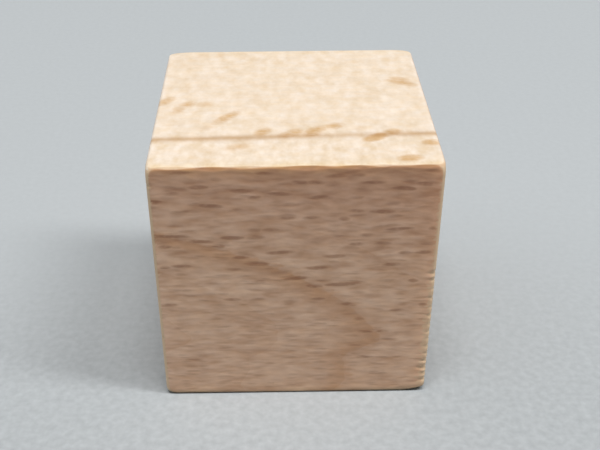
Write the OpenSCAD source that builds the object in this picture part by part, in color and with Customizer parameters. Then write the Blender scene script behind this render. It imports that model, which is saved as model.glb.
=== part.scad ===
// Plain beech cube, one solid piece of wood with no joint.
// The grain runs from left to right, along X: the front, back, top and underside are long-grain
// faces, and the two sides are end grain.
// The origin is the centre of the underside, with +Z up and the front facing -Y.

/* [Block] */
// Edge length of the cube
edge = 30; // [20:1:50]

/* [Eased edges] */
// Radius of the arrises round the front, the two ends and the underside
arris_r = 0.4; // [0.2:0.05:0.6]
// Radius of the upright arrises and the top arris at the back
back_arris_r = 0.6; // [0.2:0.05:0.9]
// How far the light rounding of every corner reaches along each edge
corner_round = 0.9; // [0.6:0.1:1.5]

/* [Wear] */
// How far the most worn corner, the lower front one on the right, reaches along the front
corner_wear = 3; // [1:0.1:4]

/* [Broken-out fibres] */
// Length of the longest tear, inward from the end grain
tear_run = 1.4; // [0.8:0.1:3]
// Depth of the deepest tear at the end grain
tear_depth = 0.34; // [0.2:0.02:0.5]
// Height of the tallest tear
tear_height = 0.9; // [0.5:0.1:1.2]
// Depth of the deepest chip in the top arris of the front
chip_depth = 0.08; // [0.04:0.01:0.16]
// Length of the longest chip in the top arris of the front
chip_length = 4.4; // [3:0.2:5]

/* [Hidden] */
$fn = 64;
half = edge / 2;
clear = 1;
beech = [0.87, 0.72, 0.56];

// Worn corners: the sides that meet there, then how far the wear reaches along X, Y and Z as a
// share of the largest reach
worn_corners = [
    [[1, -1, -1], [1.00, 0.60, 0.25]],
    [[-1, -1, -1], [0.50, 0.45, 0.12]],
    [[-1, -1, 1], [0.45, 0.30, 0.10]],
    [[-1, 1, 1], [1.00, 0.80, 0.12]],
    [[1, 1, 1], [0.80, 1.00, 0.11]]
];
// Tears along the right-hand upright arris of the front: height up the edge as a share of the
// edge length, then size as a share of the largest tear
right_tears = [
    [0.06, 0.80], [0.09, 0.60], [0.12, 1.00], [0.155, 0.75], [0.19, 0.50], [0.225, 0.55], [0.26, 0.45],
    [0.295, 0.55], [0.33, 0.45], [0.37, 0.60], [0.41, 0.45], [0.45, 0.55], [0.49, 0.45], [0.53, 0.60],
    [0.56, 0.80]
];
// The two smaller tears along the left-hand one
left_tears = [[0.28, 0.40], [0.93, 0.45]];
// Chips in the top arris of the front: place along X as a share of the edge length, size as a share
// of the largest chip, then how far the broken face leans from level towards upright
top_chips = [
    [-0.41, 0.70, 45], [-0.28, 0.70, 70], [-0.16, 0.50, 45], [0.035, 1.00, 70], [0.20, 0.75, 70],
    [0.285, 0.40, 45], [0.43, 0.60, 70]
];

// Radius of the circle in which a chord has the given length and the arc over it the given height
function arc_radius(chord, rise) = (chord * chord / 4 + rise * rise) / (2 * rise);

// Square as wide as the cube with a radius on each corner, in the order
// [left low, right low, right high, left high]
module eased_square(radii) {
    corners = [[-1, -1], [1, -1], [1, 1], [-1, 1]];
    difference() {
        square(edge, center = true);
        for (i = [0:3])
            translate(corners[i] * half)
                square(2 * radii[i], center = true);
    }
    for (i = [0:3])
        translate(corners[i] * (half - radii[i]))
            circle(radii[i]);
}

// Prism through the middle of the cube, centred on the origin
module eased_prism(radii) {
    linear_extrude(edge, center = true)
        eased_square(radii);
}

// The block with all twelve arrises and eight corners eased: what three square prisms, seen from
// above, from the front and from the right, and a ball have in common
module eased_block() {
    ball_r = norm([half, half, half - corner_round]);
    translate([0, 0, half])
        intersection() {
            eased_prism([arris_r, arris_r, back_arris_r, back_arris_r]);
            rotate([90, 0, 0])
                eased_prism([arris_r, arris_r, arris_r, arris_r]);
            rotate([90, 0, 90])
                eased_prism([arris_r, arris_r, back_arris_r, arris_r]);
            sphere(ball_r);
        }
}

// Cutter for a worn corner, given as a direction such as [1, -1, 1]: all that lies outside the plane
// that meets the block's three edges at these reaches from the corner
module worn_corner(corner, reaches) {
    slopes = [for (i = [0:2]) corner[i] / reaches[i]];
    depth = 1 / norm(slopes);
    tilt = acos(slopes.z * depth);
    turn = atan2(slopes.y, slopes.x);
    translate([0, 0, half] + corner * half)
        rotate([0, tilt, turn])
            translate([0, 0, edge / 2 - depth])
                cube(edge, center = true);
}

// Cutter for a tear where fibres broke out at the end of the front face: a round groove along
// the grain that is deepest at the end grain and runs out to nothing inward
module tear(side, height, size) {
    run = tear_run * size;
    depth = tear_depth * size;
    groove_r = arc_radius(tear_height * size, depth);
    mirror([side < 0 ? 1 : 0, 0, 0])
        translate([half, -half - groove_r + depth, height])
            rotate([0, 0, atan(depth / run)])
                rotate([0, 90, 0])
                    cylinder(r = groove_r, h = 2 * (run + clear), center = true);
}

// Cutter for a shallow chip in the top arris of the front, where a sliver broke away. lean is the
// angle between the broken face and the top
module chip(place, size, lean) {
    depth = chip_depth * size;
    chip_r = arc_radius(chip_length * size, depth);
    eased_away = arris_r * (sin(lean) + cos(lean) - 1);
    translate([place, -half, edge])
        rotate([lean, 0, 0])
            translate([0, 0, chip_r - eased_away - depth])
                rotate([90, 0, 0])
                    cylinder(r = chip_r, h = 4 * clear, center = true, $fn = 180);
}

module cube_block() {
    color(beech)
        difference() {
            eased_block();
            for (w = worn_corners)
                worn_corner(w[0], w[1] * corner_wear);
            for (t = right_tears)
                tear(1, t[0] * edge, t[1]);
            for (t = left_tears)
                tear(-1, t[0] * edge, t[1]);
            for (c = top_chips)
                chip(c[0] * edge, c[1], c[2]);
        }
}

cube_block();  // cube
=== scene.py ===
"""Looks of a plain beech cube: the block with its eased and worn edges, the wood, and a small stage.

Sizes are in metres in the cube's own frame: +Z is up, the front faces -Y and the grain runs along X.
The wood's pattern is laid out in millimetres of the same frame.
"""

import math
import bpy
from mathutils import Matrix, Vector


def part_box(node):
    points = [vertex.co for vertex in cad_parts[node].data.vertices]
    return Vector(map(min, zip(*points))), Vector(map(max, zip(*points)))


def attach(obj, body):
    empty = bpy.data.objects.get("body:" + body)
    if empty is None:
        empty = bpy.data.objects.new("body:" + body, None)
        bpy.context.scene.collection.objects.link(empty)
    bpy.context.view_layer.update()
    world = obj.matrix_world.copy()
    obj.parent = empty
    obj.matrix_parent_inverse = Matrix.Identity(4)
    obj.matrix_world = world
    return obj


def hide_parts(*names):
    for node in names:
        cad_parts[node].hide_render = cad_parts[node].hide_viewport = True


bl_info = {
    "name": "Beech Cube",
    "version": (1, 0, 0),
    "blender": (4, 5, 0),
    "location": "3D View > Sidebar > Cube",
    "description": "Makes a plain beech cube with eased edges, torn fibres and solid wood grain",
    "category": "Add Mesh",
}

import bpy
from bpy.props import FloatProperty, FloatVectorProperty, PointerProperty
from bpy.types import Operator, Panel, PropertyGroup
from mathutils import Matrix, Vector

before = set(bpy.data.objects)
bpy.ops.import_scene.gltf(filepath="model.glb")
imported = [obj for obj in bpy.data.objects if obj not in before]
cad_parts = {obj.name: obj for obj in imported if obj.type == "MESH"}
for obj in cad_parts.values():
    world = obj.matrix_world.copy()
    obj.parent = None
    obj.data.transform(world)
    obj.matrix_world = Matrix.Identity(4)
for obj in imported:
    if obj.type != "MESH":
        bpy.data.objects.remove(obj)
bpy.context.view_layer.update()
LOW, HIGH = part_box("cube")
EDGE = HIGH.z - LOW.z
HALF = EDGE / 2
MM = 0.001

# Worn corners: the sides that meet there, then how far the wear reaches along X, Y and Z as a share
# of the largest reach
WORN_CORNERS = (
    ((1, -1, -1), (1.00, 0.60, 0.25)),
    ((-1, -1, -1), (0.50, 0.45, 0.12)),
    ((-1, -1, 1), (0.45, 0.30, 0.10)),
    ((-1, 1, 1), (1.00, 0.80, 0.12)),
    ((1, 1, 1), (0.80, 1.00, 0.11)),
)
# Tears at the ends of the front: height up the edge as a share of the edge length, then size as a
# share of the largest tear
RIGHT_TEARS = (
    (0.06, 0.80), (0.09, 0.60), (0.12, 1.00), (0.155, 0.75), (0.19, 0.50), (0.225, 0.55), (0.26, 0.45),
    (0.295, 0.55), (0.33, 0.45), (0.37, 0.60), (0.41, 0.45), (0.45, 0.55), (0.49, 0.45), (0.53, 0.60),
    (0.56, 0.80),
)
LEFT_TEARS = ((0.28, 0.40), (0.93, 0.45))
# Chips in the top arris of the front, in degrees that the broken face leans from level towards
# upright: place along X as a share of the edge length, then size as a share of the largest chip
TOP_CHIPS = {
    45: ((-0.41, 0.70), (-0.16, 0.50), (0.285, 0.40)),
    70: ((-0.28, 0.70), (0.035, 1.00), (0.20, 0.75), (0.43, 0.60)),
}

# Rays on the front: place along X, height up the face and length, in millimetres, then strength
FRONT_RAYS = (
    (-11.7, 29.4, 2.5, 0.7), (-3.2, 29.2, 1.5, 0.7), (3.9, 28.8, 1.8, 0.7), (6.3, 28.9, 1.2, 0.6),
    (0.5, 28.1, 1.3, 0.9), (2.0, 28.1, 1.5, 0.9), (7.7, 28.0, 2.0, 0.7), (-9.7, 27.7, 1.7, 1.0),
    (13.1, 27.8, 1.5, 0.9), (11.0, 27.3, 2.0, 1.0), (-12.5, 27.0, 1.4, 0.6), (-5.4, 27.2, 1.8, 1.0),
    (-1.6, 26.8, 1.9, 1.0), (-4.2, 26.5, 1.1, 0.9), (2.5, 26.4, 1.3, 0.8), (-14.3, 26.0, 1.1, 0.9),
    (-8.7, 25.5, 2.2, 1.0), (-11.5, 24.9, 2.0, 0.6), (-6.2, 25.0, 1.2, 0.6), (6.3, 24.7, 1.4, 0.6),
    (8.8, 24.6, 2.0, 1.0), (-0.8, 24.0, 1.3, 0.8), (1.6, 24.0, 1.4, 0.8), (5.0, 23.8, 0.9, 0.9),
    (-2.5, 22.5, 1.6, 0.6), (10.7, 22.5, 2.3, 1.0), (14.2, 22.5, 0.8, 0.8), (-13.2, 21.9, 3.4, 1.0),
    (-6.6, 21.6, 1.9, 1.2), (-4.2, 21.6, 1.5, 0.7), (7.4, 21.8, 1.3, 0.7), (-9.9, 21.2, 2.1, 1.0),
    (-13.6, 20.6, 1.3, 0.8), (-8.0, 20.6, 1.3, 0.9), (6.3, 20.7, 1.3, 0.8), (9.1, 20.7, 1.4, 0.7),
    (-1.7, 19.7, 2.3, 1.0), (13.4, 19.5, 1.4, 0.9), (11.5, 19.5, 1.2, 0.9), (4.1, 19.2, 2.0, 1.0),
    (-5.8, 19.2, 1.4, 1.0), (-4.1, 18.3, 2.1, 1.0), (-12.1, 18.1, 1.8, 0.9), (-13.8, 18.0, 1.0, 0.8),
    (10.1, 18.0, 1.5, 0.9), (2.1, 17.7, 2.0, 1.0), (-6.5, 17.6, 1.5, 0.7), (0.0, 16.4, 2.3, 1.0),
    (-8.8, 15.8, 1.5, 0.4), (-4.0, 16.0, 1.3, 0.6), (12.6, 15.9, 0.9, 1.0), (5.0, 15.5, 2.8, 1.4),
    (2.0, 15.3, 1.4, 0.9), (-6.9, 13.7, 1.5, 0.9), (2.4, 13.6, 1.3, 0.7), (-13.8, 13.0, 1.5, 0.9),
    (5.8, 12.8, 1.5, 0.9), (13.9, 12.6, 0.8, 0.8), (11.0, 11.9, 1.4, 0.7), (7.0, 10.8, 0.9, 0.6),
    (7.8, 9.0, 1.4, 0.7), (9.5, 9.0, 1.2, 0.6), (7.8, 5.3, 1.8, 0.8),
)
# Ray flecks on the top: place along X and Y, length and turn, in millimetres and degrees, then strength
TOP_FLECKS = (
    (-14.2, 0.3, 2.8, 50, 0.6), (-12.6, -1.9, 2.2, 62, 0.5), (-11.7, -0.6, 2.0, 25, 0.6),
    (-9.8, -0.6, 1.8, 5, 0.45), (-10.9, 13.2, 1.8, 60, 0.3), (-8.6, 13.4, 1.8, 70, 0.3),
    (-7.2, -3.9, 3.8, 50, 0.65), (-9.2, -6.4, 1.8, 30, 0.35), (-3.3, -7.5, 2.0, 45, 0.65),
    (-0.4, -8.0, 2.4, 25, 0.7), (2.2, -7.3, 2.8, 35, 0.75), (4.3, -6.3, 2.0, 25, 0.7),
    (8.5, -9.0, 2.6, 30, 1.0), (10.4, -7.8, 1.8, 15, 0.7), (7.0, -6.9, 1.3, 65, 0.35),
    (14.1, -10.3, 1.8, 5, 0.8), (11.5, -13.6, 2.3, 8, 0.8), (-5.9, -10.8, 2.6, 18, 0.55),
    (12.7, 4.7, 3.4, -26, 0.65), (12.6, 5.6, 2.2, -15, 0.6), (1.9, -7.9, 2.0, 10, 0.7),
    (0.1, -7.6, 1.8, 20, 0.7),
)


class BlockSizes(PropertyGroup):
    """Sizes of the block and of the wear on its edges."""

    arris: FloatProperty(
        name="Arris radius",
        description="Radius of the arrises round the front, the ends and the underside",
        default=0.4 * MM, min=0.1 * MM, max=0.6 * MM, unit="LENGTH", precision=5,
    )
    back_arris: FloatProperty(
        name="Back arris radius",
        description="Radius of the upright arrises and the top arris at the back",
        default=0.6 * MM, min=0.2 * MM, max=1.0 * MM, unit="LENGTH", precision=5,
    )
    corner_round: FloatProperty(
        name="Corner rounding",
        description="How far the rounding of every corner reaches along each edge",
        default=0.9 * MM, min=0.6 * MM, max=1.5 * MM, unit="LENGTH", precision=5,
    )
    corner_wear: FloatProperty(
        name="Corner wear", description="How far the most worn corner reaches along the front",
        default=3.0 * MM, min=1.0 * MM, max=4.0 * MM, unit="LENGTH", precision=5,
    )
    tear_run: FloatProperty(
        name="Tear run", description="Length of the longest tear inward from the end grain",
        default=1.4 * MM, min=0.5 * MM, max=3.0 * MM, unit="LENGTH", precision=5,
    )
    tear_depth: FloatProperty(
        name="Tear depth", description="Depth of the deepest tear at the end grain",
        default=0.34 * MM, min=0.1 * MM, max=0.6 * MM, unit="LENGTH", precision=5,
    )
    tear_height: FloatProperty(
        name="Tear height", description="Height of the tallest tear",
        default=0.9 * MM, min=0.4 * MM, max=1.5 * MM, unit="LENGTH", precision=5,
    )
    chip_depth: FloatProperty(
        name="Chip depth", description="Depth of the deepest chip in the top arris of the front",
        default=0.08 * MM, min=0.0, max=0.3 * MM, unit="LENGTH", precision=5,
    )
    chip_length: FloatProperty(
        name="Chip length", description="Length of the longest chip in the top arris of the front",
        default=4.4 * MM, min=1.0 * MM, max=6.0 * MM, unit="LENGTH", precision=5,
    )
    fibre_lift: FloatProperty(
        name="Fibre lift", description="How far the sawn surface falls between its raised fibres",
        default=0.03 * MM, min=0.0, max=0.1 * MM, unit="LENGTH", precision=5,
    )


class BeechLooks(PropertyGroup):
    """Colours and finish of the wood, with some painted light and shade."""

    # Partly the paler rift face and partly painted light: the top and underside get a paler, washed-out
    # colour so that they look more brightly lit than the front
    pale: FloatVectorProperty(
        name="Rift face", description="Ground colour of the top and the underside",
        default=(0.83, 0.69, 0.54), min=0.0, max=1.0, subtype="COLOR",
    )
    tan: FloatVectorProperty(
        name="Flat-sawn face", description="Ground colour of the front and the back",
        default=(0.755, 0.485, 0.325), min=0.0, max=1.0, subtype="COLOR",
    )
    end_grain: FloatVectorProperty(
        name="End grain", description="Ground colour of the two ends",
        default=(0.52, 0.34, 0.21), min=0.0, max=1.0, subtype="COLOR",
    )
    ray: FloatVectorProperty(
        name="Ray", description="Share of the ground colour that a ray on a flat-sawn face leaves",
        default=(0.65, 0.57, 0.52), min=0.0, max=1.0, subtype="COLOR",
    )
    fleck: FloatVectorProperty(
        name="Fleck", description="Share of the ground colour that a ray on a rift face leaves",
        default=(0.79, 0.62, 0.41), min=0.0, max=1.0, subtype="COLOR",
    )
    late_wood: FloatVectorProperty(
        name="Late wood", description="Share of the ground colour that late wood leaves",
        default=(0.84, 0.73, 0.62), min=0.0, max=1.0, subtype="COLOR",
    )
    ring_line: FloatVectorProperty(
        name="Ring line", description="Share of the ground colour in the bold ring on a rift face",
        default=(0.63, 0.47, 0.30), min=0.0, max=1.0, subtype="COLOR",
    )
    # Painted shade: the sides darken towards the top, where less light reaches them
    shade: FloatVectorProperty(
        name="Darker wood", description="Share of the ground colour left high up on the sides",
        default=(0.86, 0.77, 0.735), min=0.0, max=1.0, subtype="COLOR",
    )
    arris: FloatVectorProperty(
        name="Arris", description="Share of the ground colour on the burnished arrises",
        default=(1.0, 0.90, 0.60), min=0.0, max=1.0, subtype="COLOR",
    )
    # Also the colour of the painted pale highlight along the upright arrises
    raw: FloatVectorProperty(
        name="Torn wood", description="Colour of the raw wood where fibres are torn out",
        default=(0.80, 0.59, 0.38), min=0.0, max=1.0, subtype="COLOR",
    )
    # Painted shade: the dark contact shadow where the wood meets the floor
    painted_foot_shade: FloatVectorProperty(
        name="Foot", description="Share of the ground colour left where the wood meets the floor",
        default=(0.42, 0.46, 0.46), min=0.0, max=1.0, subtype="COLOR",
    )
    roughness: FloatProperty(
        name="Roughness", description="Roughness of the sawn and sanded wood",
        default=0.6, min=0.0, max=1.0, subtype="FACTOR",
    )


class StageLooks(PropertyGroup):
    """Floor and lamps. A lamp's level of 1 shows a colour that faces it about as it is written."""

    floor: FloatVectorProperty(
        name="Floor", description="Colour of the floor",
        default=(0.50, 0.53, 0.545), min=0.0, max=1.0, subtype="COLOR",
    )
    overhead: FloatProperty(
        name="Overhead lamp", description="Level of the lamp high over the front",
        default=0.63, min=0.0,
    )
    right_side: FloatProperty(
        name="Right lamp", description="Level of the small lamp on the right",
        default=0.445, min=0.0,
    )
    left_side: FloatProperty(
        name="Left lamp", description="Level of the broad lamp on the left",
        default=0.23, min=0.0,
    )
    surround: FloatProperty(
        name="Surround", description="Level of the light from all round",
        default=0.05, min=0.0,
    )


class Wire:
    """An output socket that can stand in a sum. Each operation on it adds a Math node."""

    def __init__(self, graph, socket):
        self.graph = graph
        self.socket = socket

    def __add__(self, other):
        return self.graph.math("ADD", self, other)

    def __sub__(self, other):
        return self.graph.math("SUBTRACT", self, other)

    def __rsub__(self, other):
        return self.graph.math("SUBTRACT", other, self)

    def __mul__(self, other):
        return self.graph.math("MULTIPLY", self, other)

    def __truediv__(self, other):
        return self.graph.math("DIVIDE", self, other)

    def __rtruediv__(self, other):
        return self.graph.math("DIVIDE", other, self)

    def __pow__(self, power):
        return self.graph.math("POWER", self, power)

    def __abs__(self):
        return self.graph.math("ABSOLUTE", self)

    __radd__ = __add__
    __rmul__ = __mul__

    def also(self, name):
        """Another output of the same node."""
        return Wire(self.graph, self.socket.node.outputs[name])


class Graph:
    """Adds nodes to one node tree."""

    def __init__(self, tree):
        self.tree = tree

    def node(self, kind, settings=None, sockets=None, output=0):
        """A new node, given its settings first and then the values or wires of its sockets."""
        node = self.tree.nodes.new(kind)
        for name, value in (settings or {}).items():
            setattr(node, name, value)
        for name, value in (sockets or {}).items():
            socket = node.inputs[name]
            if isinstance(value, Wire):
                self.tree.links.new(value.socket, socket)
            elif socket.type == "RGBA":
                socket.default_value = (*value, 1.0)
            else:
                socket.default_value = value
        return Wire(self, node.outputs[output]) if len(node.outputs) else node

    def math(self, operation, *values):
        return self.node("ShaderNodeMath", {"operation": operation}, dict(enumerate(values)))

    def largest(self, values, least=0.0):
        """The largest of some numbers, and no less than the least."""
        top = least
        for value in values:
            top = self.math("MAXIMUM", value, top)
        return top

    def vector(self, operation, *values):
        """Vector Math. The second value of SCALE is a number, and some operations give one."""
        sockets = dict(enumerate(values))
        if operation == "SCALE":
            sockets = {0: values[0], 3: values[1]}
        output = 1 if operation in ("LENGTH", "DISTANCE", "DOT_PRODUCT") else 0
        return self.node("ShaderNodeVectorMath", {"operation": operation}, sockets, output)

    def split(self, vector):
        """The X, Y and Z of a vector."""
        x = self.node("ShaderNodeSeparateXYZ", sockets={0: vector})
        return x, x.also("Y"), x.also("Z")

    def join(self, x, y, z):
        return self.node("ShaderNodeCombineXYZ", sockets={0: x, 1: y, 2: z})

    def ease(self, value, low, high):
        """0 at low and 1 at high, smooth between them. low may be the larger."""
        return self.node(
            "ShaderNodeMapRange", {"interpolation_type": "SMOOTHSTEP"},
            {"Value": value, "From Min": low, "From Max": high},
        )

    def mix(self, factor, a, b, blend="MIX"):
        """Two colours mixed."""
        settings = {"data_type": "RGBA", "blend_type": blend}
        return self.node("ShaderNodeMix", settings, {0: factor, 6: a, 7: b}, output=2)

    def noise(self, place, lump, shift=0.0, detail=2.0, roughness=0.5):
        """Noise about zero, with lumps of the given size along X, Y and Z in the units of place."""
        scaled = self.vector("MULTIPLY_ADD", place, [1 / size for size in lump], [shift] * 3)
        sockets = {"Vector": scaled, "Scale": 1.0, "Detail": detail, "Roughness": roughness}
        return self.node("ShaderNodeTexNoise", sockets=sockets) - 0.5


# The block ------------------------------------------------------------------------------------

STEPS = (96, 112, 176)  # faces along X, Y and Z
EDGE_ZONE = 0.6 * MM  # width of the strip beside each arris that has finer faces
EDGE_SHARE = 0.1  # share of the faces of half an edge that lie in that strip
TEAR_ZONE = 1.5 * MM  # depth behind the front that a tear pulls along
WEAR_BLEND = 0.15 * MM  # distance over which a worn corner blends into the faces
CHIP_BLEND = 0.04 * MM  # the same for a chip
BALL_BLEND = 0.5 * MM  # the same for the ball that rounds the corners
RAGGED_LUMP = (0.8 * MM, 1.0 * MM, 0.25 * MM)  # lumps along X, Y and Z that make the tears ragged
RAGGEDNESS = 1.6  # how much the depth of a tear swings with them
LIFT_LUMP = (3.0 * MM, 0.4 * MM, 0.4 * MM)  # lumps of the raised fibres
TORN = "torn_depth"  # attribute that holds how deep the fibres are torn out, in millimetres
BLOCK_INPUTS = (
    ("Edge", "edge"), ("Arris", "arris"), ("Back arris", "back_arris"),
    ("Corner rounding", "corner_round"), ("Corner wear", "corner_wear"),
    ("Tear run", "tear_run"), ("Tear depth", "tear_depth"), ("Tear height", "tear_height"),
    ("Chip depth", "chip_depth"), ("Chip length", "chip_length"), ("Fibre lift", "fibre_lift"),
)


def graded(graph, value, half):
    """A coordinate moved so that the faces beside both arrises are finer than the rest."""
    outer = EDGE_ZONE / HALF / EDGE_SHARE
    inner = (1 - EDGE_ZONE / HALF) / (1 - EDGE_SHARE)
    share = abs(value) / half
    moved = graph.math("MINIMUM", share * inner, 1 - (1 - share) * outer)
    return graph.math("SIGN", value) * moved * half


def eased(graph, u, v, half, radius):
    """Two coordinates pulled in to a square whose corners have the given radius."""
    core = half - radius
    inner = [graph.math("MINIMUM", abs(value), core) for value in (u, v)]
    past = [abs(value) - kept for value, kept in zip((u, v), inner)]
    reach = graph.math("SQRT", past[0] * past[0] + past[1] * past[1])
    pull = graph.math("MINIMUM", radius / graph.math("MAXIMUM", reach, 1e-9), 1.0)
    return [graph.math("SIGN", value) * (kept + over * pull)
            for value, kept, over in zip((u, v), inner, past)]


def torn(graph, size, place, half, tears, side):
    """How far the front falls back at a place because of the tears on one side."""
    x, _, z = place
    inward = half - x * side
    depths = []
    for share, scale in tears:
        ramp = 1 - inward / (size["Tear run"] * scale)
        off = (z - (share * EDGE - HALF)) / (size["Tear height"] * (scale / 2))
        depths.append((ramp - off * off) * (size["Tear depth"] * scale))
    return graph.largest(depths)


def shaved(graph, place, point, normal, depth, blend):
    """A place moved back behind the plane that lies at a depth below a point."""
    out = graph.vector("DOT_PRODUCT", graph.vector("SUBTRACT", place, point), normal) + depth
    out = graph.math("SMOOTH_MAX", out, 0.0, blend)
    return graph.vector("SUBTRACT", place, graph.vector("SCALE", normal, out))


def chipped(graph, size, place, lean, chips):
    """A place moved back to the broken faces of the chips with one lean."""
    x = graph.split(place)[0]
    lean = math.radians(lean)
    depths = []
    for share, scale in chips:
        off = (x - share * EDGE) / (size["Chip length"] * (scale / 2))
        depths.append((1 - off * off) * (size["Chip depth"] * scale))
    eased_away = size["Arris"] * (math.sin(lean) + math.cos(lean) - 1)
    point = graph.vector("SCALE", (0.0, -1.0, 1.0), size["Edge"] / 2)
    depth = graph.largest(depths, -1.0) + eased_away
    return shaved(graph, place, point, (0.0, -math.sin(lean), math.cos(lean)), depth, CHIP_BLEND)


def worn(graph, size, place, corner, shares):
    """A place moved back behind the worn plane of one corner."""
    point = graph.vector("SCALE", corner, size["Edge"] / 2)
    slopes = [side / share for side, share in zip(corner, shares)]
    slopes = graph.vector("SCALE", slopes, 1 / size["Corner wear"])
    normal = graph.vector("NORMALIZE", slopes)
    return shaved(graph, place, point, normal, 1 / graph.vector("LENGTH", slopes), WEAR_BLEND)


def rounded(graph, size, place):
    """A place drawn in softly to the ball that rounds every corner."""
    half = size["Edge"] / 2
    ball = graph.vector("LENGTH", graph.join(half, half, half - size["Corner rounding"]))
    away = graph.vector("LENGTH", place)
    kept = graph.math("SMOOTH_MIN", away, ball, BALL_BLEND)
    return graph.vector("SCALE", place, kept / away)


def block_tree(material):
    """Geometry nodes for the block: a fine grid cube, eased, worn, chipped, torn and roughened."""
    tree = bpy.data.node_groups.new("beech_block", "GeometryNodeTree")
    for name, _ in BLOCK_INPUTS:
        tree.interface.new_socket(name, in_out="INPUT", socket_type="NodeSocketFloat")
    tree.interface.new_socket("Geometry", in_out="OUTPUT", socket_type="NodeSocketGeometry")
    graph = Graph(tree)
    first = graph.node("NodeGroupInput")
    size = {name: first.also(name) for name, _ in BLOCK_INPUTS}
    edge = size["Edge"]
    half = edge / 2
    counts = {f"Vertices {axis}": steps + 1 for axis, steps in zip("XYZ", STEPS)}
    block = graph.node(
        "GeometryNodeMeshCube", sockets={"Size": graph.join(edge, edge, edge), **counts}
    )
    mesh = graph.node(
        "GeometryNodeStoreNamedAttribute", {"data_type": "FLOAT2", "domain": "CORNER"},
        {"Geometry": block, "Name": "OFBake", "Value": block.also("UV Map")},
    )

    start = graph.split(graph.node("GeometryNodeInputPosition"))
    x, y, z = [graded(graph, value, half) for value in start]
    behind = graph.math("GREATER_THAN", y, 0.0)
    above = graph.math("GREATER_THAN", z, 0.0)
    extra = (size["Back arris"] - size["Arris"]) * behind
    x, y = eased(graph, x, y, half, size["Arris"] + extra)
    y, z = eased(graph, y, z, half, size["Arris"] + extra * above)
    x, z = eased(graph, x, z, half, size["Arris"])

    place = graph.join(x, y, z)
    ragged = 1 + graph.noise(place, RAGGED_LUMP, 3.0) * RAGGEDNESS
    tear = torn(graph, size, (x, y, z), half, RIGHT_TEARS, 1)
    tear = graph.math("MAXIMUM", tear, torn(graph, size, (x, y, z), half, LEFT_TEARS, -1))
    tear = tear * ragged * graph.ease(y + half, TEAR_ZONE, 0.0)
    y = y + tear
    place = rounded(graph, size, graph.join(x, y, z))
    for lean, chips in TOP_CHIPS.items():
        place = chipped(graph, size, place, lean, chips)
    for corner, shares in WORN_CORNERS:
        place = worn(graph, size, place, corner, shares)
    marked = graph.node(
        "GeometryNodeStoreNamedAttribute", {"data_type": "FLOAT", "domain": "POINT"},
        {"Geometry": mesh, "Name": TORN, "Value": tear / MM},
    )
    shaped = graph.node("GeometryNodeSetPosition", sockets={"Geometry": marked, "Position": place})

    normal = graph.node("GeometryNodeInputNormal")
    here = graph.node("GeometryNodeInputPosition")
    fall = graph.noise(here, LIFT_LUMP, 7.0, 3.0, 0.6) - 0.5
    sunk = graph.vector("SCALE", normal, fall * size["Fibre lift"])
    rough = graph.node("GeometryNodeSetPosition", sockets={"Geometry": shaped, "Offset": sunk})
    lift = graph.join(0.0, 0.0, half)
    stood = graph.node("GeometryNodeSetPosition", sockets={"Geometry": rough, "Offset": lift})
    smooth = graph.node("GeometryNodeSetShadeSmooth", sockets={"Geometry": stood})
    whole = graph.node("GeometryNodeRealizeInstances", sockets={"Geometry": smooth})
    finished = graph.node(
        "GeometryNodeSetMaterial", sockets={"Geometry": whole, "Material": material}
    )
    graph.node("NodeGroupOutput", sockets={"Geometry": finished})
    return tree


# The wood -------------------------------------------------------------------------------------

# From here on sizes are in millimetres
SIDE = HALF / MM  # distance of each side from the middle
TOP = EDGE / MM  # height of the top
PITH = (0.0, 18.0, 8.0)  # a point on the heart of the tree, behind the cube

# The bold ring, in shares of the edge length: an arch on the front and a slanting line on the top
ARCH_HEIGHT = 0.27  # height of the arch's tip
ARCH_PLACE = 0.855  # distance of the tip from the left end, with the part that its rounding takes
ARCH_ROUNDING = 0.004
ARCH_LEAN = 0.9  # how fast the arch goes to the left above its tip, once past the rounding
ARCH_BULGE = 0.1  # how much slower for the bulge above the tip
LOWER_STEP = 0.07  # how far the arch goes to the left just below its tip
LOWER_FADE = (0.01, -0.1)  # heights from the tip between which it does
LOWER_LEAN = 0.32  # how fast it goes to the left below the tip
ARCH_SLANT = 0.3  # how fast the ring goes in behind the front
LINE_PLACE = 0.2  # distance of the line from the front at the left end of the top
LINE_SLANT = 0.024  # how much farther it is at the right end
LINE_STRENGTH = 0.72
LINE_SHARPNESS = 3.4
FAINT_SPOT = (6.0, 4.0, 0.3)  # place along X where the line is fainter, its reach and by how much
RING_WIDTH = 3.2  # in millimetres again

# Rays and flecks are ellipsoids whose skin fades away, so they are longer than they look
RAY_LENGTH = 0.82  # half the length of a ray on the front, as a share of the length it shows
RAY_THICKNESS = 0.31  # half its thickness
RAY_DEPTH = 1.2  # half the depth to which it goes in behind the front
RAY_TILT = 3.0  # degrees that it leans at most
FLECK_LENGTH = 0.75  # the same for a fleck on the top
FLECK_THICKNESS = 0.95
FLECK_DEPTH = 2.0
# Strewn rays: length and width of the cell that each lies in, and shift
BOLD_RAYS = ((3.6, 0.74), 11.0)
SMALL_RAYS = ((2.4, 0.60), 5.0)
RAY_SHELL = 36.0  # distance from the heart at which the cell has that width
RAY_SWAY = ((4.0, 6.0, 1.5), 0.35)  # lumps of the noise that the rays sway with, and how far

# Noises: size of the lumps along X, Y and Z, shift, detail and roughness
DRIFT = ((9.0, 3.0, 3.0), 1.0, 2.0)
STREAK = ((2.4, 0.7, 0.7), 2.0, 1.0)
FIBRE = ((0.6, 0.3, 0.3), 3.0, 1.0)
CLOUD = ((5.0, 1.8, 1.8), 4.0, 2.0)
MOTTLE = ((1.15, 1.8, 0.9), 6.0, 2.0, 0.6)
HUE = ((1.4, 0.8, 0.7), 8.0, 1.0)

# How much red, green and blue swing with a noise
GRAIN_SWING = (0.74, 1.04, 1.3)
MOTTLE_SWING = (0.30, 0.46, 0.76)
HUE_SWING = (-0.07, 0.0, 0.13)
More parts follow.
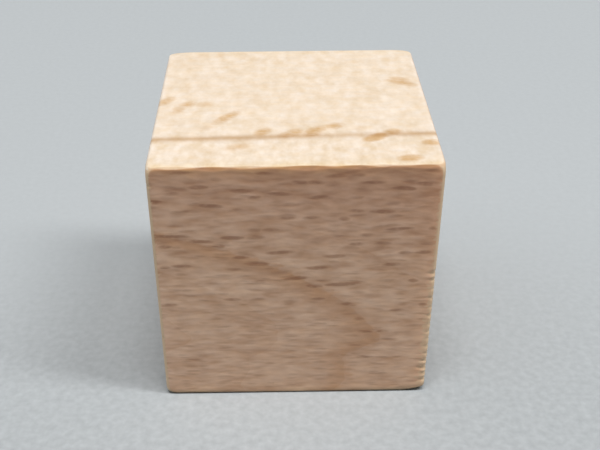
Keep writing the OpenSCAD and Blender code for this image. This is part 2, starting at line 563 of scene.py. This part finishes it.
# How much they rise with the painted highlight at the side edges of the top, and at the right and left
# ends of the front
BRIM_LIGHT_RISE = (0.11, 0.16, 0.26)
RIGHT_RISE = (0.16, 0.06, -0.05)
LEFT_RISE = (0.05, 0.06, 0.10)

# Fades, from where there is nothing to where there is all of it. A facing goes from 0 to 1
END_FACING = (0.93, 0.995)  # the ends
LEVEL_FACING = (0.4, 0.9)  # the top and the underside
BRINK_HEIGHT = (29.45, 29.65)  # the left brink of the top, by height and by place along X
BRINK_PLACE = (-14.4, -14.7)
SHADE_HEIGHT = (16.0, 31.0)  # the painted shade high up on the sides
VIVID_HEIGHT = (4.0, 22.0)  # the full swing of the grain on the sides
MOTTLE_PLACE = (-5.0, -12.0)  # the stronger mottle of the top, by place along Y
BAND_DEPTH = (1.7, 0.0)  # the bold ring's late wood, from its soft side and from its sharp one
BAND_EDGE = (-0.4, 0.25)
BAND_HEIGHT = (14.0, 20.0)  # its full strength
LOW_HEIGHT = (7.0, 4.0)  # the narrower and fainter band low down
BURNISH_HEIGHT = (22.0, 29.5)  # the full burnish of an arris
BRIM_LIGHT_HEIGHT = (29.0, 29.5)  # the painted highlight on the side edges of the top
LEFT_HEIGHT = (20.0, 8.0)  # the lighter left end of the front
BESIDE_DEPTH = (0.45, 0.05)  # the painted pale highlight strip beside the upright arrises
WIDER_PLACE = (10.0, 14.0)  # its greater width on the right, by place along X and by height
WIDER_HEIGHT = (24.0, 3.0)
EDGE_HIGHLIGHT_FACING = (0.05, 0.35)  # the painted highlight on the upright arrises
BACK_PLACE = (0.0, 6.0)  # where the highlight is weaker, by place along Y
TORN_DEPTH = (0.02, 0.25)  # the torn fibres
FOOT_SHADE_PLACE = (2.0, 13.0)  # the full strength of the painted contact shade, by distance from the middle
FOOT_SHADE_WIDER = (10.0, 14.5)  # its greater height on the right
FOOT_SHADE_FACING = (0.995, 0.93)  # where the wood no longer faces straight down

# How far streaks, fibres and strewn rays stand up or lie low
STREAK_RELIEF = 0.035
FIBRE_RELIEF = 0.008
RAY_RELIEF = -0.012


def ring_depth(graph, place):
    """Distance from the bold ring towards the heart."""
    x, y, z = graph.split(place)
    share_x = (x + SIDE) * (1 / TOP)
    off = z * (1 / TOP) - ARCH_HEIGHT
    above = graph.math("MAXIMUM", off, 0.0)
    arch = graph.math("SQRT", above * above + ARCH_ROUNDING) * ARCH_LEAN - above * ARCH_BULGE
    arch = arch + graph.ease(off, *LOWER_FADE) * LOWER_STEP
    arch = arch + graph.math("MAXIMUM", off * -LOWER_LEAN, 0.0)
    high = graph.math("MAXIMUM", off / (1 - ARCH_HEIGHT), 0.0)
    high = graph.math("MINIMUM", high * high, 1.0)
    front = (arch - ARCH_PLACE + share_x) * ARCH_SLANT
    surface = front * (1 - high) + (share_x * LINE_SLANT + LINE_PLACE) * high
    return y + SIDE - surface * TOP


def strewn_rays(graph, place, cell, shift):
    """Rays strewn in the wood, which run straight out from the heart: 1 in a ray and 0 beside it."""
    x, y, z = graph.split(place)
    turn = graph.math("ARCTAN2", z - PITH[2], PITH[1] - y)
    lump, reach = RAY_SWAY
    sway = graph.noise(place, lump, shift, 1.0) * reach
    length, width = cell
    spread = graph.join(x / length + shift, (turn * RAY_SHELL + sway) / width, 0.0)
    ray = graph.node(
        "ShaderNodeTexVoronoi", {"voronoi_dimensions": "2D"},
        {"Vector": spread, "Scale": 1.0, "Randomness": 0.9},
    )
    chance = graph.split(ray.also("Color"))[0]
    return graph.ease(ray, 0.35, 0.08) * graph.ease(chance, 0.25, 0.9)


def placed_rays(graph, place, axis, rays):
    """Rays given one by one (centre, half sizes, turn about the axis, strength)."""
    masks = (placed_ray(graph, place, axis, *ray) for ray in rays)
    return graph.largest(masks)


def placed_ray(graph, place, axis, centre, sizes, turn, strength):
    """One ray as an ellipsoid, of strength at its centre and 0 at its skin."""
    turned = graph.node(
        "ShaderNodeVectorRotate", {"rotation_type": axis},
        {"Vector": place, "Center": centre, "Angle": -turn},
    )
    scales = [1 / size for size in sizes]
    shifts = [-at / size for at, size in zip(centre, sizes)]
    local = graph.vector("MULTIPLY_ADD", turned, scales, shifts)
    squared = graph.vector("DOT_PRODUCT", local, local)
    return graph.math("MULTIPLY_ADD", squared, -strength, strength)


def front_rays():
    """The rays of the front as ellipsoids."""
    rays = []
    for index, (x, z, length, strength) in enumerate(FRONT_RAYS):
        tilt = math.radians(RAY_TILT * math.sin(index * 1.7))
        sizes = (length * RAY_LENGTH, RAY_DEPTH, RAY_THICKNESS)
        rays.append(((x, -SIDE, z), sizes, tilt, strength))
    return rays


def top_flecks():
    """The flecks of the top as ellipsoids."""
    rays = []
    for x, y, length, turn, strength in TOP_FLECKS:
        sizes = (length * FLECK_LENGTH, FLECK_THICKNESS, FLECK_DEPTH)
        rays.append(((x, y, TOP), sizes, math.radians(turn), strength))
    return rays


def near_arris(graph, y, z):
    """1 at an arris that runs along the grain, falling off within a millimetre of it."""
    depth = graph.math("MAXIMUM", SIDE - abs(y), SIDE - abs(z - SIDE))
    return graph.math("EXPONENT", depth * -1.6)


def share_of(graph, factor, colour, share):
    """A colour that drops to a share of itself as the factor goes to 1."""
    return graph.mix(factor, colour, graph.mix(1.0, colour, share, "MULTIPLY"))


def swung(graph, colour, value, weights):
    """A colour that swings about itself with a value about zero, by a weight for each channel."""
    swing = graph.vector("MULTIPLY_ADD", graph.join(value, value, value), weights, (1.0, 1.0, 1.0))
    return graph.vector("MULTIPLY", colour, swing)


class Wood:
    """The wires that the wood's colours come from: place, facing and the noises of the grain."""

    def __init__(self, graph):
        coordinates = graph.node("ShaderNodeTexCoord", output="Object")
        self.graph = graph
        self.place = graph.vector("SCALE", coordinates, 1 / MM)
        self.x, self.y, self.z = graph.split(self.place)

        # How squarely the wood faces along X, Y and Z, then 1 on the ends, on the level faces and
        # on the upright ones. The rounded left brink of the top counts as top
        self.facing = [abs(side) for side in graph.split(coordinates.also("Normal"))]
        brink = graph.ease(self.z, *BRINK_HEIGHT) * graph.ease(self.x, *BRINK_PLACE)
        self.end = graph.ease(self.facing[0], *END_FACING) * (1 - brink)
        self.level = graph.math("MAXIMUM", graph.ease(self.facing[2], *LEVEL_FACING), brink)
        self.upright = 1 - self.level

        drift = graph.noise(self.place, *DRIFT)
        self.waved = graph.vector("ADD", self.place, graph.join(0.0, drift, drift))
        self.streak = graph.noise(self.waved, *STREAK)
        self.fibre = graph.noise(self.waved, *FIBRE)
        self.cloud = graph.noise(self.place, *CLOUD)


def plain_colour(wood, looks):
    """Colour of the wood between its rings and rays, set by the way the face is sawn and partly by
    painted light and shade: a paler top, and painted shade high up on the sides.
    """
    graph, level, upright = wood.graph, wood.level, wood.upright
    # The paler colour of the level faces is partly painted light
    ground = graph.mix(level, looks.tan, looks.pale)
    ground = graph.mix(wood.end, ground, looks.end_grain)
    # Painted shade high up on the upright sides
    shaded = graph.ease(wood.z + wood.x * 0.15, *SHADE_HEIGHT) * upright
    ground = share_of(graph, shaded, ground, looks.shade)
    vivid = upright * (graph.ease(wood.z, *VIVID_HEIGHT) * 0.15 + 0.85)
    grain = (wood.streak * 0.9 + wood.fibre * 0.15) * vivid + wood.cloud * 0.07
    ground = swung(graph, ground, grain, GRAIN_SWING)
    mottle = graph.noise(wood.place, *MOTTLE) * level
    mottle = mottle * (graph.ease(wood.y, *MOTTLE_PLACE) * 0.4 + 1)
    ground = swung(graph, ground, mottle, MOTTLE_SWING)
    return swung(graph, ground, graph.noise(wood.place, *HUE), HUE_SWING)


def add_rings(wood, looks, ground):
    """The colour with late wood in each ring, and the bold ring as a band or a line."""
    graph, upright, depth = wood.graph, wood.upright, ring_depth(wood.graph, wood.waved)
    edge = depth + (wood.fibre + wood.streak * 1.5) * upright * 0.7
    low = graph.ease(wood.z, *LOW_HEIGHT)
    band = graph.ease(depth * (low + 1), *BAND_DEPTH) * graph.ease(edge, *BAND_EDGE)
    strength = 0.8 + graph.ease(wood.z, *BAND_HEIGHT) * 0.2 - low * 0.25
    band = band * (strength + wood.streak + wood.cloud)
    phase = graph.math("FRACT", depth / -RING_WIDTH)
    late = band * upright + phase ** 5.0 * (upright * 0.2 + 0.1)
    ground = share_of(graph, late, ground, looks.late_wood)
    middle, reach, fainter = FAINT_SPOT
    off = (wood.x - middle) / reach
    faint = graph.math("EXPONENT", off * off * -1.0) * fainter
    line = graph.math("EXPONENT", depth * depth * -LINE_SHARPNESS) * (LINE_STRENGTH - faint)
    return share_of(graph, line * wood.level, ground, looks.ring_line)


def strewn_mask(wood):
    """1 in the rays strewn through the wood, bold and small, and 0 beside them."""
    graph = wood.graph
    bold = strewn_rays(graph, wood.waved, *BOLD_RAYS)
    small = strewn_rays(graph, wood.waved, *SMALL_RAYS)
    return graph.math("MAXIMUM", bold * 0.5, small * 0.35) * (wood.upright * 0.9 + 0.1)


def add_rays(wood, looks, ground, strewn):
    """The colour with the strewn rays, the rays of the front and the flecks of the top."""
    graph = wood.graph
    sway = wood.streak * 0.3
    swayed = graph.vector("ADD", wood.place, graph.join(0.0, sway, sway))
    front = placed_rays(graph, swayed, "Y_AXIS", front_rays()) * (1 + wood.fibre * 1.5)
    front = graph.ease(front, 0.0, 1.0)
    ground = share_of(graph, graph.math("MAXIMUM", strewn, front), ground, looks.ray)
    top = placed_rays(graph, wood.place, "Z_AXIS", top_flecks()) * (1 + wood.fibre)
    return share_of(graph, graph.ease(top, 0.0, 0.9), ground, looks.fleck)


def add_handling(wood, looks, ground):
    """The colour with burnished arrises along the grain, a painted highlight on the side edges of the
    top, a lighter left end and a warmer right end of the front.
    """
    graph, x, z = wood.graph, wood.x, wood.z
    burnished = near_arris(graph, wood.y, z) * (1 + wood.streak * 2.0)
    burnished = burnished * (graph.ease(z, *BURNISH_HEIGHT) * 0.6 + 0.4)
    ground = share_of(graph, burnished * (wood.upright * 0.5 + 0.5), ground, looks.arris)
    # Painted highlight on the rounded side edges of the top, which lie in shade
    painted_brim_light = graph.math("EXPONENT", (abs(x) - SIDE) * 3.0) * graph.ease(z, *BRIM_LIGHT_HEIGHT)
    ground = swung(graph, ground, painted_brim_light, BRIM_LIGHT_RISE)
    long_grain = wood.upright * (1 - wood.end)
    right = graph.math("EXPONENT", (x - SIDE) * 0.8) * long_grain
    ground = swung(graph, ground, right, RIGHT_RISE)
    left = graph.math("EXPONENT", (x + SIDE) * -1.2) * long_grain * graph.ease(z, *LEFT_HEIGHT)
    return swung(graph, ground, left, LEFT_RISE)


def add_highlight_and_torn(wood, looks, ground):
    """The colour with a painted pale highlight of raw-wood colour along the upright arrises, and raw
    wood where the fibres are torn out.
    """
    graph, x = wood.graph, wood.x
    # Painted highlight: a pale strip on the upright arrises and beside them
    wider = graph.ease(x, *WIDER_PLACE) * (graph.ease(wood.z, *WIDER_HEIGHT) * 0.45 + 0.15)
    inward = SIDE - abs(x) - wider + wood.fibre * 1.5
    beside = graph.ease(inward, *BESIDE_DEPTH) * (1 - wood.end) * 0.6
    painted_edge_highlight = graph.math("MINIMUM", wood.facing[0], wood.facing[1])
    painted_edge_highlight = graph.math("MAXIMUM", graph.ease(painted_edge_highlight, *EDGE_HIGHLIGHT_FACING), beside)
    painted_edge_highlight = painted_edge_highlight * (1 - graph.ease(wood.y, *BACK_PLACE) * 0.65)
    torn_out = graph.node("ShaderNodeAttribute", {"attribute_name": TORN}, output="Fac")
    highlight_and_torn = graph.math("MAXIMUM", painted_edge_highlight, graph.ease(torn_out, *TORN_DEPTH))
    return graph.mix(highlight_and_torn * wood.upright * 0.9, ground, looks.raw)


def add_painted_foot_shade(wood, looks, ground):
    """The colour darkened by painted contact shade in a narrow strip where the sides come down to the
    floor.
    """
    graph = wood.graph
    height = graph.ease(wood.x, *FOOT_SHADE_WIDER) * 0.6 + 0.85
    # Painted contact shade along the bottom of the sides
    painted_foot_shade = graph.ease(wood.z, height, 0.05)
    painted_foot_shade = painted_foot_shade * (graph.ease(abs(wood.x), *FOOT_SHADE_PLACE) * 0.5 + 0.5)
    painted_foot_shade = painted_foot_shade * graph.ease(wood.facing[2], *FOOT_SHADE_FACING)
    return share_of(graph, painted_foot_shade, ground, looks.painted_foot_shade)


def beech(looks):
    """Beech as solid wood: growth rings, rays and fibres, set by place and facing."""
    material = bpy.data.materials.new("solid_beech")
    material.use_nodes = True
    material.node_tree.nodes.clear()
    graph = Graph(material.node_tree)
    wood = Wood(graph)
    strewn = strewn_mask(wood)
    ground = plain_colour(wood, looks)
    ground = add_rings(wood, looks, ground)
    ground = add_rays(wood, looks, ground, strewn)
    ground = add_handling(wood, looks, ground)
    ground = add_highlight_and_torn(wood, looks, ground)
    ground = add_painted_foot_shade(wood, looks, ground)
    height = wood.streak * STREAK_RELIEF + wood.fibre * FIBRE_RELIEF + strewn * RAY_RELIEF
    bump = graph.node(
        "ShaderNodeBump", sockets={"Strength": 1.0, "Distance": MM, "Height": height}
    )
    surface = graph.node(
        "ShaderNodeBsdfPrincipled",
        sockets={
            "Base Color": ground,
            "Roughness": looks.roughness + wood.fibre * 0.2,
            "Normal": bump,
        },
    )
    graph.node("ShaderNodeOutputMaterial", sockets={"Surface": surface})
    return material


# The stage ------------------------------------------------------------------------------------

FLOOR_REACH = 1.5  # half the width of the floor, in metres
FLOOR_LUMP = (0.9 * MM, 0.9 * MM, 0.9 * MM)  # size of the lumps in the floor's grain
FLOOR_TONE = 0.838  # share of the floor's colour in front of the cube, where painted shade darkens it
FLOOR_PAINTED_RISE = 0.10  # how much lighter it is painted behind the cube
FLOOR_ROUGHNESS = 0.9
# Lamps: bearing and height angle in degrees and distance in metres, then width and height in metres
LAMPS = {
    "overhead": ((-90, 80, 3.0), (1.6, 0.7)),
    "right_side": ((-14.5, 58, 2.5), (0.45, 1.3)),
    "left_side": ((185, 60, 2.5), (2.5, 2.5)),
}
AIM = (-0.042, -0.122, 0.325)  # where the camera looks, in edge lengths of the cube
CAMERA_AWAY = 3.81  # distance of the camera from there, in edge lengths
CAMERA_TURN = (34.93, 0.48, -0.48)  # degrees that it looks down, swings to the right and rolls
CAMERA_LENS = 56.82  # in millimetres, on a sensor 36 mm wide
CAMERA_SHIFT = (0.0284, 0.0727)


def floor_material(looks):
    """Matte pale paper with a faint grain, and painted shade that makes it a little darker towards the
    front.
    """
    material = bpy.data.materials.new("floor")
    material.use_nodes = True
    material.node_tree.nodes.clear()
    graph = Graph(material.node_tree)
    place = graph.node("ShaderNodeTexCoord", output="Object")
    y = graph.split(place)[1]
    grain = graph.noise(place, FLOOR_LUMP, detail=3.0) * (graph.ease(y, 0.02, -0.02) * 0.24 + 0.1)
    # Painted shade: the floor is darker in front of the cube and lighter behind it
    painted_tone_and_grain = FLOOR_TONE + graph.ease(y, -0.035, 0.035) * FLOOR_PAINTED_RISE + grain
    colour = graph.vector("SCALE", graph.join(*looks.floor), painted_tone_and_grain)
    surface = graph.node(
        "ShaderNodeBsdfPrincipled", sockets={"Base Color": colour, "Roughness": FLOOR_ROUGHNESS}
    )
    graph.node("ShaderNodeOutputMaterial", sockets={"Surface": surface})
    return material


def add_floor(looks):
    """A flat floor at the level the cube stands on."""
    mesh = bpy.data.meshes.new("floor")
    corners = [(-1, -1), (1, -1), (1, 1), (-1, 1)]
    points = [(FLOOR_REACH * x, FLOOR_REACH * y, LOW.z) for x, y in corners]
    mesh.from_pydata(points, [], [(0, 1, 2, 3)])
    mesh.materials.append(floor_material(looks))
    floor = bpy.data.objects.new("floor", mesh)
    bpy.context.collection.objects.link(floor)


def add_lamp(name, level, place, size):
    """A lamp that faces the cube from a place given as bearing, height angle and distance."""
    bearing, height, away = math.radians(place[0]), math.radians(place[1]), place[2]
    light = bpy.data.lights.new(name, "AREA")
    light.shape = "ELLIPSE"
    light.size, light.size_y = size
    light.energy = level * (math.pi * away) ** 2
    lamp = bpy.data.objects.new(name, light)
    flat = math.cos(height)
    along = Vector((math.cos(bearing) * flat, math.sin(bearing) * flat, math.sin(height)))
    lamp.location = along * away
    lamp.rotation_euler = along.to_track_quat("Z", "Y").to_euler()
    bpy.context.collection.objects.link(lamp)


def add_world(looks):
    """Even light from all round; the camera sees the same pale grey as the floor."""
    world = bpy.data.worlds.new("surround")
    world.use_nodes = True
    world.node_tree.nodes.clear()
    graph = Graph(world.node_tree)
    path = graph.node("ShaderNodeLightPath", output="Is Camera Ray")
    lit = graph.node(
        "ShaderNodeBackground", sockets={"Color": (1.0, 1.0, 1.0), "Strength": looks.surround}
    )
    seen = graph.node(
        "ShaderNodeBackground", sockets={"Color": tuple(looks.floor), "Strength": 1.0}
    )
    both = graph.node("ShaderNodeMixShader", sockets={0: path, 1: lit, 2: seen})
    graph.node("ShaderNodeOutputWorld", sockets={"Surface": both})
    bpy.context.scene.world = world


def add_camera():
    """The camera, above the front of the cube."""
    down, swing, roll = [math.radians(angle) for angle in CAMERA_TURN]
    turn = (
        Matrix.Rotation(-swing, 4, "Z")
        @ Matrix.Rotation(math.pi / 2 - down, 4, "X")
        @ Matrix.Rotation(roll, 4, "Z")
    )
    lens = bpy.data.cameras.new("camera")
    lens.lens = CAMERA_LENS
    lens.shift_x, lens.shift_y = CAMERA_SHIFT
    lens.clip_start = EDGE / 10
    camera = bpy.data.objects.new("camera", lens)
    back = turn @ Vector((0.0, 0.0, CAMERA_AWAY))
    place = (Vector(AIM) + back) * EDGE
    camera.matrix_world = Matrix.Translation(place) @ turn
    bpy.context.collection.objects.link(camera)
    bpy.context.scene.camera = camera


# Operators ------------------------------------------------------------------------------------


class CUBE_OT_block(Operator):
    """Make the beech block and let it stand for the cube"""

    bl_idname = "cube.block"
    bl_label = "Make the block"

    def execute(self, context):
        sizes = context.scene.cube_sizes
        material = beech(context.scene.cube_beech)
        tree = block_tree(material)
        block = bpy.data.objects.new("maker", bpy.data.meshes.new("maker"))
        context.collection.objects.link(block)
        modifier = block.modifiers.new("block", "NODES")
        modifier.node_group = tree
        inputs = [item for item in tree.interface.items_tree if item.in_out == "INPUT"]
        sockets = {item.name: item.identifier for item in inputs}
        for name, prop in BLOCK_INPUTS:
            modifier[sockets[name]] = EDGE if prop == "edge" else getattr(sizes, prop)
        whole = block.evaluated_get(context.evaluated_depsgraph_get())
        mesh = bpy.data.meshes.new_from_object(whole)
        mesh.name = "beech_block"
        bpy.data.objects.remove(block)
        piece = bpy.data.objects.new("beech_block", mesh)
        context.collection.objects.link(piece)
        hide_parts("cube")
        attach(piece, "root")
        return {"FINISHED"}


class CUBE_OT_stage(Operator):
    """Lay the floor, hang the lamps and set the camera"""

    bl_idname = "cube.stage"
    bl_label = "Set the stage"

    def execute(self, context):
        looks = context.scene.cube_stage
        add_floor(looks)
        for name, (place, size) in LAMPS.items():
            add_lamp(name, getattr(looks, name), place, size)
        add_world(looks)
        add_camera()
        context.scene.view_settings.view_transform = "Standard"
        return {"FINISHED"}


class CUBE_PT_panel(Panel):
    """Lists the settings and the operators"""

    bl_idname = "CUBE_PT_panel"
    bl_label = "Beech cube"
    bl_space_type = "VIEW_3D"
    bl_region_type = "UI"
    bl_category = "Cube"

    def draw(self, context):
        layout = self.layout
        for group, operator in (
            (context.scene.cube_sizes, CUBE_OT_block),
            (context.scene.cube_beech, None),
            (context.scene.cube_stage, CUBE_OT_stage),
        ):
            for name in group.__annotations__:
                layout.prop(group, name)
            if operator:
                layout.operator(operator.bl_idname)


CLASSES = (BlockSizes, BeechLooks, StageLooks, CUBE_OT_block, CUBE_OT_stage, CUBE_PT_panel)
GROUPS = {"cube_sizes": BlockSizes, "cube_beech": BeechLooks, "cube_stage": StageLooks}


def register():
    for cls in CLASSES:
        bpy.utils.register_class(cls)
    for name, group in GROUPS.items():
        setattr(bpy.types.Scene, name, PointerProperty(type=group))


def unregister():
    for name in GROUPS:
        delattr(bpy.types.Scene, name)
    for cls in reversed(CLASSES):
        bpy.utils.unregister_class(cls)


def main():
    register()
    bpy.ops.cube.stage()
    bpy.ops.cube.block()


if __name__ == "__main__":
    main()
